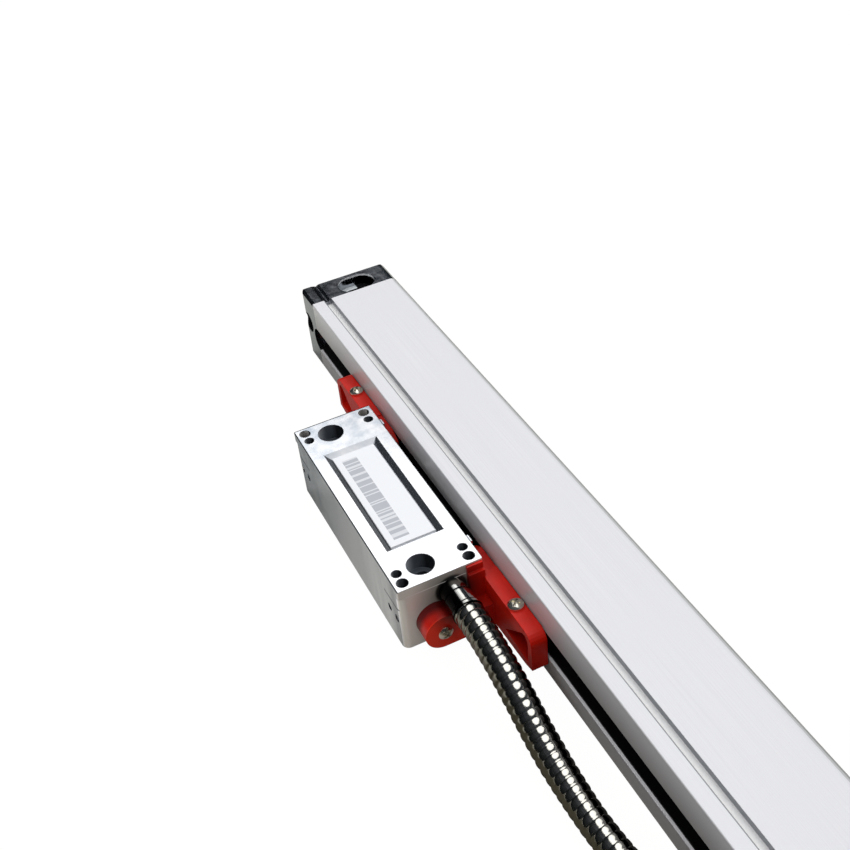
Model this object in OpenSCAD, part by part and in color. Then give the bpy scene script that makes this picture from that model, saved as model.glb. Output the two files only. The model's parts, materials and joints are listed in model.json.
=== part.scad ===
// Enclosed linear glass scale: a sealed aluminium housing with a glass scale inside, and a reading
// head that travels along the slot in its side and is cabled with armoured conduit.
// The housing lies on its mounting face. X runs along the travel, Y points away from the slot and
// Z away from the mounting face. The origin is the middle of the housing's mounting face.

/* [Housing] */
// Travel of the reading head
travel = 170; // [60:5:400]
// Length of the housing beyond the travel
end_room = 143; // [136:1:180]
// Width of the housing, from the slot's side to the back
housing_w = 37; // [36:0.5:42]
// Height of the housing over its mounting face
housing_h = 30.5; // [30:0.5:34]
// Wall on the back
wall = 2.6; // [2:0.1:3]
// Floor over the mounting face
floor_t = 2.6; // [2:0.1:3.2]
// Roof under the top face
roof_t = 3; // [2.8:0.1:3.6]
// Radius of the rounded back edge
back_r = 3; // [1:0.5:4]
// Radius of the two lower edges
foot_r = 1; // [0.4:0.2:1.6]

/* [Top groove] */
// Distance from the slot's side to the groove
groove_y = 5.1; // [4.5:0.1:5.5]
// Width of the groove
groove_w = 3.1; // [2:0.1:3.5]
// Depth of the groove
groove_d = 2.4; // [1:0.1:2.8]

/* [Slot and seals] */
// Height of the slot's lower edge over the mounting face
slot_z = 8.2; // [8:0.1:9]
// Height of the slot
slot_h = 10.5; // [9.5:0.5:11]
// Depth of the slot's flanks
flank_d = 7; // [6.8:0.1:7.2]
// How far the lips reach in from the slot's side
lip_reach = 6.2; // [5:0.1:6.4]
// Opening between the lips, for the coupling blade
lip_gap = 1.4; // [1.3:0.1:2]

/* [End caps] */
// Length of an end cap
cap_l = 13.6; // [12.5:0.1:16]
// Distance from the end of the housing to the mounting screw
mount_x = 8.5; // [8:0.1:9]
// Distance from the slot's side to the middle of the mounting slot
mount_y = 21.15; // [19:0.5:23]
// Width of the mounting slot
mount_w = 6.6; // [4.5:0.1:6.8]
// Width of its counterbore
mount_head_w = 11; // [9:0.5:12]
// Depth of its counterbore
mount_head_d = 4.8; // [3:0.1:8]
// How far the mounting screw can be moved across
mount_play = 4.1; // [2:0.1:6]
// Diameter of the purge air port
port_d = 8.5; // [5:0.5:9]
// Depth of the purge air port
port_depth = 5; // [3:0.5:6]

/* [Glass] */
// Thickness of the glass scale
glass_t = 3.2; // [2.8:0.1:3.4]
// Distance from the slot's side to the free edge of the glass
glass_y = 17.9; // [17.4:0.1:19]
// Height of its lower face over the mounting face
glass_z = 12; // [11.8:0.1:12.4]

/* [Reading head] */
// Distance from the far end of the housing to the middle of the head
head_at = 123.4; // [90:0.1:160]
// Length of the head
head_l = 87.7; // [86:0.1:92]
// Width of the head
head_w = 28.8; // [28.4:0.1:31]
// Height of the head
head_h = 26; // [25.5:0.1:29]
// Gap between the head and the housing
head_gap = 4.8; // [4.6:0.1:6]
// Distance between the two mounting holes of the head
head_hole_span = 73.2; // [72.6:0.1:75]
// Diameter of the mounting holes
head_hole_d = 5.5; // [4.3:0.1:5.6]
// Diameter of their counterbores
head_cbore_d = 9; // [7.5:0.1:9.4]
// Depth of their counterbores
head_cbore_depth = 6; // [3:0.5:6]
// Length of the label recess at the top
label_l = 53.3; // [40:0.5:56]
// Width of the label recess at the top
label_w = 19.6; // [15:0.5:20]
// Depth of the label recess
label_d = 1.5; // [0.8:0.1:1.6]
// Width of its sloped walls
label_bevel = 2.05; // [0.5:0.1:3]

/* [Transport brackets] */
// Distance from the middle of the head to the outer end of a bracket
bracket_end = 74.8; // [72:0.2:80]
// Height of a bracket over the mounting face
bracket_h = 20; // [18.5:0.1:21]
// Thickness of a bracket beside the housing
bracket_t = 5.4; // [5.2:0.1:6]
// Running clearance between a bracket and the housing
bracket_gap = 0.3; // [0.2:0.1:0.6]
// Thickness of the plate on the end of the head
bracket_plate = 7; // [5:0.5:8]
// Distance from the middle of the head to the upright screw
upright_at = 61; // [58:0.5:64]

/* [Cable and plug] */
// Diameter of the armoured conduit
cable_d = 9; // [8:0.5:9]
// Length of the plug's hood
hood_l = 38; // [34:1:44]
// Width of the plug's hood
hood_w = 31.5; // [31:0.5:34]
// Thickness of the plug's hood
hood_t = 15.4; // [14.5:0.1:17]
// Distance between the plug's screws
plug_span = 25; // [24.5:0.1:25.5]

/* [Hidden] */
$fn = 48;
e = 0.5;                                     // how far a cut runs past a face

scale_l = travel + end_room;
body_l = scale_l - 2 * cap_l;                // length of the extrusion
back_y = housing_w - wall;                   // inner face of the back wall
roof_z = housing_h - roof_t;
slot_mid = slot_z + slot_h / 2;
slot_top = slot_z + slot_h;

// Screws of the end caps, as [y, z]
cap_screw_d = 2.9;
cap_screw_head = 4.8;
cap_screw_sink = 2.2;
cap_bevel = 1.2;                             // along the top edge on the slot side
cap_groove_d = 1.2;
port_at = [port_d / 2 + 0.6, slot_mid + 3.6];  // air port, from the end of the housing
cap_screw_at = [[4.4, 3.7], [4.4, housing_h - 5.9], [housing_w - 4.4, 4.4],
    [housing_w - 4.4, housing_h - 4.4]];
fit = 0.1;                                   // slack of a piece in its pocket

// Channels that hold the roots of the lips
root_y = 2.2;
root_w = 2.4;
root_d = 2.2;

// Seat of the glass on the back wall
glass_w = back_y - fit - glass_y;
glass_top = glass_z + glass_t;
ledge_w = 5;
ledge_t = 2.4;
strip_w = 3;
strip_t = 2;

// Gasket between an end cap and the extrusion
gasket_t = 1;
gasket_rim = 3.4;

// Head, measured from its own middle and the housing's slot side
head_in = -head_gap;                         // face towards the housing
head_out = head_in - head_w;
head_mid = (head_in + head_out) / 2;
head_hole_y = head_mid - 3.15;
label_floor = head_h - label_d;
shell_t = 2.2;                               // walls of the head
flange_h = 3.4;                              // top of the head with crisp corners
body_r = 2.4;                                // upright edges below it
inner_l = 61;                                // length of the hollow
inner_in = head_in - 3.7;
inner_out = head_out + shell_t;
inner_top = label_floor - 2.1;
cover_t = 1.5;
cover_l = 65.2;
cover_rim = 1.4;
cover_screw = [28.2, 9.7];                   // from the middle of the head, along X and Y
small_d = 2.5;                               // shanks of the small screws
small_hole = small_d + 2 * 0.05;
pair_y = 11.25;                              // rows of small holes, from the middle of the head
pair_out = head_l / 2 - 2.95;                // grub screws, beside the tapped holes
pair_in = pair_out - 4.3;
tapped_d = 3.4;
pair_depth = 9;
grub_d = 3.8;
grub_l = 5;
side_hole_d = 2.7;

// Circuit board
board_l = 49;
board_w = 20;
board_t = 1.6;
board_z = 12.4;
board_post = [20, 7.5];
post_d = 4.4;
post_screw_d = 1.9;
chip = [9, 9, 1.6];
driver = [5, 6, 1.4];
driver_x = 13;
header = [5, 9, 4];
header_at = [14, 3];

// Coupling through the slot
web_y = glass_y - 8.9;                       // web of the carriage that the coupling drives
blade_t = 1;
blade_l = 30;
foot_t = 1.2;
foot_l = 36;
foot_h = 11;
blade_in = web_y - 0.4;                      // inner end of the blade
block_y = blade_in - 1.8;                    // block that holds the spring wire
block_h = 3;
wire_d = 0.8;
wire_y = block_y + 0.9;
wire_z = slot_mid + 2.1;

// Scanning carriage
web_t = 1.8;
carriage_l = 48;
carriage_in = back_y - ledge_w - 0.4;
deck_t = 1.8;
deck_z = glass_top + 7.6;                    // underside of the upper deck
sole_z = 4.4;                                // underside of the lower deck
sole_l = 30;
optic_y = (glass_y + back_y - ledge_w) / 2;  // middle of the glass that the light passes
index_w = back_y - ledge_w - glass_y - 1.5;
roller_d = 7;
roller_w = 2.6;
axle_d = 2;
axle_fit = 0.03;                             // radial running clearance
roll_gap = 0.05;                             // between a roller and the glass
lug_t = 1.6;
lug_w = 5.2;
side_gap = 0.15;                             // between a roller and its lug
face_roller_z = glass_top + roll_gap + roller_d / 2;
edge_roller_y = glass_y - roll_gap - roller_d / 2;
face_rollers = [[-18, glass_y + 1.3], [18, glass_y + 1.3], [-11.5, back_y - strip_w - roller_w - 3]];
edge_rollers = [-13, 13];

// Brackets
boss_y = -22.4;
boss_z = 9.2;
boss_r = 6.5;
boss_foot = boss_z - boss_r;
plate_web = 2.2;                             // thin part of the plate beside the ferrule
web_h = head_h - 3;                          // its height
tab_t = 1;                                   // tab on its top, and its height
tab_h = head_h - 0.6;
tongue_from = 30;
tongue_t = 4;
bracket_screw_d = 2.5;
bracket_head_d = 5;
bracket_head_h = 1.7;
upright_screw_l = 8.6;
recess = [3.2, 0.8, 1.1];                    // arms of the cross recess, and its depth

// Cable exit and ferrule
exit_y = -16;
exit_z = 18.5;
passage_d = 5.4;
spigot_d = 7.8;
spigot_l = 2.4;
ferrule_l = 11.4;

// Route of the cable from the ferrule, from the middle of the head and the slot side
cable_seat = 0.3;                            // between the cable's end and what it enters
lead_route = [[head_l / 2 + ferrule_l + cable_seat, exit_y, exit_z], [62, -16, exit_z],
    [70, -16, 17.4], [78, -16, 15.4], [87, -16, 12.3], [95, -16, 9.1], [104, -16, 6.5],
    [114, -16, 5.1], [125, -15.9, 4.6], [137, -15.1, 4.6], [149, -13.4, 4.6], [163.2, -12.2, 4.6]];
// Coil of the rest of the cable: three turns side by side in three layers
coil_x = 195.5;
coil_y = -66;
coil_r = 45;
coil_turns = [3, 3];
// The cable's end comes up over the coil to the plug that lies on it
plug_rest = 0.2;
plug_z = coil_turns.y * cable_d + plug_rest + hood_t / 2;
tail_route = [[240.1, -75, 34], [235.5, -89, 34.7], [226.5, -99.5, plug_z],
    [214.5, -104, plug_z], [206.5, -104, plug_z]];

// Plug, placed by the cable end of its hood
sleeve_l = 6;
plug_x = tail_route[4].x - cable_seat - sleeve_l;
plug_y = tail_route[4].y;
neck_w = 13;
shoulder = 12;
thumb_d = 3;
knob_d = 7.2;
knob_l = 8.6;
flange_t = 0.9;
shell_l = 5.8;
d_wide = 8.3;
d_narrow = 7.2;
d_half = 4.15;
d_wall = 0.5;
pin_pitch = 2.76;
pin_rows = 2.84;

// Extrudes an outline drawn as [y, z] along X
module along_x(x, len) {
    translate([x, 0, 0]) rotate([90, 0, 90]) linear_extrude(len) children();
}

// Extrudes an outline drawn as [x, z] along Y
module along_y(y, len) {
    translate([0, y + len, 0]) rotate([90, 0, 0]) linear_extrude(len) children();
}

// Extrudes an outline drawn as [x, y] upwards
module along_z(z, len) {
    translate([0, 0, z]) linear_extrude(len) children();
}

module rod_x(x, len, d, y, z) { translate([x, y, z]) rotate([0, 90, 0]) cylinder(d = d, h = len); }
module rod_y(y, len, d, x, z) { translate([x, y, z]) rotate([-90, 0, 0]) cylinder(d = d, h = len); }
module rod_z(z, len, d, x, y) { translate([x, y, z]) cylinder(d = d, h = len); }

// Points on an arc from angle a0 to a1
function arc(c, r, a0, a1, n = 6) =
    [for (i = [0:n]) let (a = a0 + (a1 - a0) * i / n) c + r * [cos(a), sin(a)]];

// Rectangle from corner p to corner q with rounded corners
module round_rect(p, q, r) {
    polygon(concat(arc(p + [r, r], r, 180, 270), arc([q.x - r, p.y + r], r, 270, 360),
        arc(q - [r, r], r, 0, 90), arc([p.x + r, q.y - r], r, 90, 180)));
}

// Slot with round ends, as wide as w, whose end circles are play apart along Y
module oblong(w, play) {
    translate([-w / 2, -play / 2]) square([w, play]);
    for (s = [-1, 1]) translate([0, s * play / 2]) circle(d = w);
}

// The housing's frame starts at its far end, at the slot's side and the mounting face
module in_housing() { translate([-scale_l / 2, -housing_w / 2, 0]) children(); }
module near_end() { translate([scale_l, 0, 0]) mirror([1, 0, 0]) children(); }
module in_head() { in_housing() translate([head_at, 0, 0]) children(); }
module in_plug() { in_head() translate([plug_x, plug_y, plug_z]) rotate([0, 0, 180]) children(); }

// ---- Housing ----

module housing_outline() {
    polygon(concat(arc([foot_r, foot_r], foot_r, 180, 270),
        arc([housing_w - foot_r, foot_r], foot_r, 270, 360),
        arc([housing_w - back_r, housing_h - back_r], back_r, 0, 90),
        arc([0.4, housing_h - 0.4], 0.4, 90, 180, 3)));
}

module hollow_outline() {
    difference() {
        polygon([[flank_d, floor_t], [back_y, floor_t], [back_y, roof_z],
            [flank_d + 3.5, roof_z], [flank_d, roof_z - 2.5]]);
        polygon([[back_y - ledge_w, glass_z - ledge_t], [back_y + e, glass_z - ledge_t - 2],
            [back_y + e, glass_z], [back_y - ledge_w, glass_z]]);
        polygon([[back_y - strip_w, glass_top + strip_t], [back_y + e, glass_top + strip_t],
            [back_y + e, glass_top + strip_t + 4], [back_y - strip_w, glass_top + strip_t + 2]]);
        for (p = [cap_screw_at[2], cap_screw_at[3]]) translate(p) circle(d = cap_screw_d + 3);
    }
}

module extrusion() {
    color("#dcdcdf") in_housing() along_x(cap_l, body_l) difference() {
        housing_outline();
        hollow_outline();
        translate([groove_y, housing_h - groove_d]) square([groove_w, groove_d + e]);
        translate([-e, slot_z]) square([flank_d + 2 * e, slot_h]);
        for (z = [slot_z - root_d, slot_top - e]) translate([root_y, z]) square([root_w, root_d + e]);
        for (p = cap_screw_at) translate(p) circle(d = cap_screw_d + fit);
    }
}

module end_cap() {
    difference() {
        intersection() {
            along_x(0, cap_l) housing_outline();
            along_z(0, housing_h) polygon(concat(arc([2.4, 2.4], 2.4, 180, 270), [[cap_l, 0]],
                [[cap_l, housing_w]], arc([3.4, housing_w - 3.4], 3.4, 90, 180)));
            along_x(0, cap_l) polygon([[0, 0], [housing_w, 0], [housing_w, housing_h],
                [cap_bevel, housing_h], [0, housing_h - cap_bevel]]);
            along_y(0, housing_w) polygon([[0, 1.6], [1.2, 0], [cap_l, 0], [cap_l, housing_h],
                [0.9, housing_h], [0, housing_h - 0.9]]);
        }
        // the housing's top groove runs out across the cap as a shallow V
        along_x(-e, cap_l + 2 * e) polygon([[groove_y - 1.6, housing_h + e],
            [groove_y + groove_w - 1.8, housing_h - cap_groove_d],
            [groove_y + groove_w - 1.4, housing_h - cap_groove_d],
            [groove_y + groove_w - 0.2, housing_h + e]]);
        // mounting slot with its counterbore
        translate([mount_x, mount_y, 0]) {
            along_z(-e, housing_h + 2 * e) oblong(mount_w, mount_play);
            along_z(housing_h - mount_head_d, mount_head_d + e) oblong(mount_head_w, mount_play);
        }
        // the slot's mouth ends in a round pocket, with the air port beyond it
        rod_y(-e, 3 + e, slot_h, cap_l + 1.2, slot_mid);
        rod_y(-e, port_depth + e, port_d, port_at.x, port_at.y);
        // screws
        for (p = cap_screw_at) {
            rod_x(-e, cap_l + 2 * e, cap_screw_d + fit, p.x, p.y);
            rod_x(-e, cap_screw_sink + e, cap_screw_head + 4 * fit, p.x, p.y);
        }
        // pocket for the gasket
        along_x(cap_l - gasket_t, gasket_t + e) gasket_outline(0);
    }
}

// Frame round the end of the hollow
module gasket_outline(slack) {
    difference() {
        translate([6 + slack, 1.4 + slack])
            square([housing_w - 7.6 - 2 * slack, housing_h - mount_head_d - 2.1 - 2 * slack]);
        translate([6 + gasket_rim - slack, 1.4 + gasket_rim - slack])
            square([housing_w - 7.6 - 2 * gasket_rim + 2 * slack,
                housing_h - mount_head_d - 2.1 - 2 * gasket_rim + 2 * slack]);
    }
}

module gasket() {
    difference() {
        along_x(cap_l - gasket_t, gasket_t) gasket_outline(fit);
        for (p = cap_screw_at) rod_x(cap_l - gasket_t - e, gasket_t + 2 * e, cap_screw_d + 4 * fit,
            p.x, p.y);
    }
}

module cap_screws() {
    for (p = cap_screw_at) difference() {
        union() {
            rod_x(cap_screw_sink - 1.9, 1.9, cap_screw_head, p.x, p.y);
            rod_x(cap_screw_sink - 0.1, cap_l + 7, cap_screw_d, p.x, p.y);
        }
        cross_recess_x(cap_screw_sink - 1.9, p.x, p.y);
    }
}

// Cross recess of a screw whose head faces -X
module cross_recess_x(x, y, z) {
    for (a = [0, 90]) translate([x, y, z]) rotate([a, 0, 0]) cube([2, 2.2, 0.5], center = true);
}

module end_cap_far() { color("#6a6c70") in_housing() end_cap(); }
module end_cap_near() { color("#6a6c70") in_housing() near_end() end_cap(); }
module gasket_far() { color("#202020") in_housing() gasket(); }
module gasket_near() { color("#202020") in_housing() near_end() gasket(); }
module cap_screws_far() { color("silver") in_housing() cap_screws(); }
module cap_screws_near() { color("silver") in_housing() near_end() cap_screws(); }

// Lip whose root sits in the channel of the slot's lower flank
module lip_outline() {
    tip_z = slot_mid - lip_gap / 2;
    polygon([[root_y + fit, slot_z - root_d + fit], [root_y + root_w - fit, slot_z - root_d + fit],
        [root_y + root_w - fit, slot_z], [root_y + root_w + 0.8, slot_z], [lip_reach, tip_z - 0.9],
        [lip_reach, tip_z], [lip_reach - 0.8, tip_z], [0.9, slot_z + 0.8], [0.9, slot_z],
        [root_y + fit, slot_z]]);
}

module lip_lower() { color("#141414") in_housing() along_x(cap_l, body_l) lip_outline(); }

module lip_upper() {
    color("#141414") in_housing() along_x(cap_l, body_l)
        translate([0, 2 * slot_mid]) mirror([0, 1]) lip_outline();
}

module glass_scale() {
    color("#9fc4bd") in_housing() along_x(cap_l + 1.5, body_l - 3)
        translate([glass_y, glass_z]) square([glass_w, glass_t]);
}

module glass_strip() {
    color("#303030") in_housing() along_x(cap_l + 1.5, body_l - 3)
        translate([back_y - strip_w, glass_top]) square([strip_w - fit, strip_t]);
}

// ---- Reading head ----

// Space of the label recess, with sloped walls
module label_space() {
    intersection() {
        along_y(head_out, head_w) label_profile(label_l / 2);
        along_x(-head_l / 2, head_l) translate([head_mid, 0]) label_profile(label_w / 2);
    }
}

module label_profile(half) {
    polygon([[-half + label_bevel, label_floor], [half - label_bevel, label_floor],
        [half, head_h], [half, head_h + e], [-half, head_h + e], [-half, head_h]]);
}

module head_hollow() {
    difference() {
        translate([-inner_l / 2, inner_out]) square([inner_l, inner_in - inner_out]);
        for (sx = [-1, 1], sy = [-1, 1]) {
            translate([sx * cover_screw.x, head_mid + sy * cover_screw.y]) circle(d = 6.4);
            translate([sx * (cover_screw.x + 3.2), head_mid + sy * (cover_screw.y + 3.2)])
                square(6.4, center = true);
        }
    }
}

module head_casting() {
    color("#e4e4e2") in_head() difference() {
        union() {
            // the body's upright edges are round below a flange with crisp corners
            along_z(0, head_h - flange_h)
                round_rect([-head_l / 2, head_out], [head_l / 2, head_in], body_r);
            along_z(head_h - flange_h - 0.1, flange_h + 0.1)
                round_rect([-head_l / 2, head_out], [head_l / 2, head_in], 0.5);
            for (s = [-1, 1]) translate([s * (pair_in - 3), head_in, head_h - 2])
                cube([3, 2, 2.6], center = true);
        }
        label_space();
        difference() {
            along_z(-e, inner_top + e) head_hollow();
            for (sx = [-1, 1], sy = [-1, 1]) rod_z(board_z + board_t, inner_top, post_d,
                sx * board_post.x, head_mid + sy * board_post.y);
        }
        along_z(-e, cover_t + e) cover_outline(0);
        for (s = [-1, 1]) {
            rod_z(-e, head_h + 2 * e, head_hole_d, s * head_hole_span / 2, head_hole_y);
            rod_z(head_h - head_cbore_depth, head_cbore_depth + e, head_cbore_d,
                s * head_hole_span / 2, head_hole_y);
            for (r = [-1, 1]) {
                rod_z(head_h - pair_depth, pair_depth + e, tapped_d, s * pair_in, head_mid + r * pair_y);
                rod_z(head_h - pair_depth, pair_depth + e, grub_d + fit, s * pair_out, head_mid + r * pair_y);
                rod_z(-e, 9, small_hole, s * cover_screw.x, head_mid + r * cover_screw.y);
                rod_z(board_z, 6, post_screw_d + fit, s * board_post.x,
                    head_mid + r * board_post.y);
            }
            // fine groove and two holes near each end of the outer side
            translate([s * (pair_in + 1.4) - 6, head_out - e, 16.8]) cube([12, 0.4 + e, 0.4]);
            for (x = [pair_in - 1.6, pair_in + 3.7])
                rod_y(head_out - e, 4 + e, side_hole_d, s * x, 11.5);
            // holes of the bracket screws and of the coupling's foot
            rod_x(s > 0 ? head_l / 2 - 3.6 : -head_l / 2 - e, 3.6 + e, small_hole, boss_y, boss_z);
            rod_y(inner_in - e, 3.7 + 2 * e, small_hole, s * foot_l / 3, slot_mid + 3.2);
        }
        rod_x(inner_l / 2 - e, head_l, passage_d, exit_y, exit_z);
        rod_x(head_l / 2 - spigot_l - fit, head_l, spigot_d + fit, exit_y, exit_z);
    }
}

module cover_outline(slack) {
    round_rect([-cover_l / 2 + slack, head_out + cover_rim + slack],
        [cover_l / 2 - slack, head_in - cover_rim - slack], 2);
}

module head_cover() {
    color("#9a9a98") in_head() difference() {
        along_z(0, cover_t) cover_outline(fit);
        for (sx = [-1, 1], sy = [-1, 1])
            translate([sx * cover_screw.x, head_mid + sy * cover_screw.y, 0]) {
                rod_z(-e, cover_t + 2 * e, small_hole, 0, 0);
                translate([0, 0, -0.01]) cylinder(d1 = 5, d2 = small_hole, h = 1.2);
            }
    }
}

// Screws inside and under the head: cover, board and coupling foot
module head_screws() {
    color("silver") in_head() {
        for (sx = [-1, 1], sy = [-1, 1]) {
            translate([sx * cover_screw.x, head_mid + sy * cover_screw.y, 0.05]) difference() {
                union() {
                    cylinder(d1 = 4.8, d2 = small_d, h = 1.15);
                    cylinder(d = small_d, h = 7.5);
                }
                for (a = [0, 90]) rotate([0, 0, a]) cube([2.2, 0.5, 1.6], center = true);
            }
            translate([sx * board_post.x, head_mid + sy * board_post.y, 0]) {
                rod_z(board_z - 1.2, 1.2, 3.6, 0, 0);
                rod_z(board_z - 0.1, 5.5, post_screw_d, 0, 0);
            }
        }
        for (s = [-1, 1]) {
            rod_y(head_in + foot_t, 1.5, 4.4, s * foot_l / 3, slot_mid + 3.2);
            rod_y(head_in - 3.4, 3.4 + foot_t + 0.1, small_d, s * foot_l / 3, slot_mid + 3.2);
        }
    }
}

module grub_screws() {
    color("#3a3a3c") in_head() for (sx = [-1, 1], sy = [-1, 1])
        translate([sx * pair_out, head_mid + sy * pair_y, head_h - pair_depth + 0.4]) difference() {
            cylinder(d = grub_d, h = grub_l);
            translate([0, 0, grub_l - 2]) cylinder(d = 2.2, h = 3, $fn = 6);
        }
}

module label_plate() {
    color("white") in_head() along_z(label_floor, 0.4) square_at([0, head_mid],
        [label_l - 2 * label_bevel - 2 * fit, label_w - 2 * label_bevel - 2 * fit]);
}

module square_at(c, size) { translate(c) square(size, center = true); }

module circuit_board() {
    color("#1f6b3a") in_head() difference() {
        union() {
            along_z(board_z, board_t) square_at([0, head_mid], [board_l, board_w]);
            along_z(board_z - chip.z, chip.z) square_at([0, head_mid], [chip.x, chip.y]);
            for (s = [-1, 1]) along_z(board_z - driver.z, driver.z)
                square_at([s * driver_x, head_mid], [driver.x, driver.y]);
            along_z(board_z + board_t, header.z)
                square_at([header_at.x, head_mid + header_at.y], [header.x, header.y]);
        }
        for (sx = [-1, 1], sy = [-1, 1]) rod_z(board_z - e, board_t + 2 * e, post_screw_d + 2 * fit,
            sx * board_post.x, head_mid + sy * board_post.y);
    }
}

// ---- Coupling and scanning carriage ----

// Steel blade between the lips, with its foot on the head and a block for the spring wire
module coupling_blade() {
    color("#4a4c50") in_head() difference() {
        union() {
            translate([-foot_l / 2, head_in, slot_mid - foot_h / 2]) cube([foot_l, foot_t, foot_h]);
            translate([-blade_l / 2, head_in, slot_mid - blade_t / 2])
                cube([blade_l, blade_in - head_in, blade_t]);
            translate([-blade_l / 2, block_y, slot_mid]) cube([4, blade_in - block_y, block_h]);
        }
        for (s = [-1, 1])
            rod_y(head_in - e, foot_t + 2 * e, small_hole, s * foot_l / 3, slot_mid + 3.2);
    }
}

module coupling_spring() {
    color("#c8c8c8") in_head() {
        rod_x(-blade_l / 2 + 4, blade_l - 6, wire_d, wire_y, wire_z);
        translate([blade_l / 2 - 2, wire_y, wire_z]) sphere(d = wire_d);
        rod_y(wire_y, web_y + web_t - wire_y, wire_d, blade_l / 2 - 2, wire_z);
    }
}

// Lug that carries the roller whose near face is at y, below the upper deck
module face_lug(x, y) {
    translate([x, y - side_gap - lug_t, 0]) difference() {
        union() {
            translate([-lug_w / 2, 0, face_roller_z])
                cube([lug_w, lug_t, deck_z + 0.5 - face_roller_z]);
            rod_y(0, lug_t, lug_w, 0, face_roller_z);
        }
        rod_y(-e, lug_t + 2 * e, axle_d + 0.04, 0, face_roller_z);
    }
}

module carriage() {
    color("#26282c") in_head() difference() {
        union() {
            translate([-carriage_l / 2, web_y, sole_z]) cube([carriage_l, web_t, deck_z - sole_z]);
            translate([-carriage_l / 2, web_y, deck_z])
                cube([carriage_l, carriage_in - web_y, deck_t]);
            translate([-sole_l / 2, web_y, sole_z])
                cube([sole_l, carriage_in - 1 - web_y, deck_t]);
            for (p = face_rollers) face_lug(p.x, p.y);
            for (x = edge_rollers) along_z(glass_top + 0.1, lug_t) {
                square_at([x, (web_y + edge_roller_y) / 2], [lug_w, edge_roller_y - web_y]);
                translate([x, edge_roller_y]) circle(d = lug_w - 1);
            }
        }
        for (x = edge_rollers)
            rod_z(glass_top - e, lug_t + 2 * e, axle_d + 0.04, x, edge_roller_y);
        rod_y(web_y - e, web_t + 2 * e, wire_d + 0.1, blade_l / 2 - 2, wire_z);
        // window in front of the optics
        along_y(web_y - e, web_t + 2 * e)
            round_rect([-8, sole_z + 4], [8, slot_mid - 1.5], 1.5);
    }
}

module roller_axles() {
    color("silver") in_head() {
        for (p = face_rollers) {
            rod_y(p.y - side_gap - lug_t, lug_t + 2 * side_gap + roller_w + 0.3, axle_d,
                p.x, face_roller_z);
            rod_y(p.y + roller_w + side_gap, 0.4, 3, p.x, face_roller_z);
        }
        for (x = edge_rollers) {
            rod_z(edge_roller_low - side_gap - 0.3, glass_top + 0.1 + lug_t - edge_roller_low
                + side_gap + 0.3, axle_d, x, edge_roller_y);
            rod_z(edge_roller_low - side_gap - 0.4, 0.4, 3, x, edge_roller_y);
        }
    }
}

edge_roller_low = glass_top + 0.1 - side_gap - roller_w;   // lower face of an edge roller

// Ball bearing seen as one ring, with its face at 0
module roller() {
    difference() {
        cylinder(d = roller_d, h = roller_w);
        translate([0, 0, -e]) cylinder(d = axle_d + 2 * axle_fit, h = roller_w + 2 * e);
        for (z = [-e, roller_w - 0.3]) translate([0, 0, z]) difference() {
            cylinder(d = roller_d - 1.4, h = 0.3 + e);
            translate([0, 0, -e]) cylinder(d = axle_d + 1.4, h = 1 + 2 * e);
        }
    }
}

module face_roller(i) {
    color("#b8bcc0") in_head() translate([face_rollers[i].x, face_rollers[i].y, face_roller_z])
        rotate([-90, 0, 0]) roller();
}

module edge_roller(i) {
    color("#b8bcc0") in_head() translate([edge_rollers[i], edge_roller_y, edge_roller_low])
        roller();
}

module roller_face_a() { face_roller(0); }
module roller_face_b() { face_roller(1); }
module roller_face_c() { face_roller(2); }
module roller_edge_a() { edge_roller(0); }
module roller_edge_b() { edge_roller(1); }

module led_board() {
    color("#2c7a45") in_head() {
        along_z(deck_z - 1.6, 1.6) square_at([0, optic_y], [14, 10]);
        rod_z(glass_top + 3.8, deck_z - 1.6 - glass_top - 3.8, 5, 0, optic_y);
        translate([0, optic_y, glass_top + 3.8]) sphere(d = 5);
    }
}

module detector_board() {
    color("#2c7a45") in_head() {
        along_z(sole_z + deck_t, 1.6) square_at([0, optic_y], [24, 11]);
        along_z(sole_z + deck_t + 1.6, glass_z - 2 - sole_z - deck_t - 1.6)
            square_at([0, optic_y], [10, index_w - 2]);
    }
}

module index_grating() {
    color("#b4d4cc") in_head() along_z(glass_z - 2, 1.7) square_at([0, optic_y], [14, index_w]);
}

// ---- Transport brackets ----

// Side view of the part beside the housing, with its open loop
module bracket_profile() {
    x0 = head_l / 2;
    difference() {
        polygon(concat([[x0, boss_foot + 1], [bracket_end - 4, 5], [bracket_end, 6]],
            arc([bracket_end - 4, bracket_h - 4], 4, 0, 90), [[x0, bracket_h]]));
        polygon(concat([[upright_at - 2.6, 8.6], [bracket_end - 3, 7.2]],
            [[bracket_end - 2.2, 8]], arc([bracket_end - 4.4, bracket_h - 4.4], 2.2, 0, 120)));
    }
}

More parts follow.
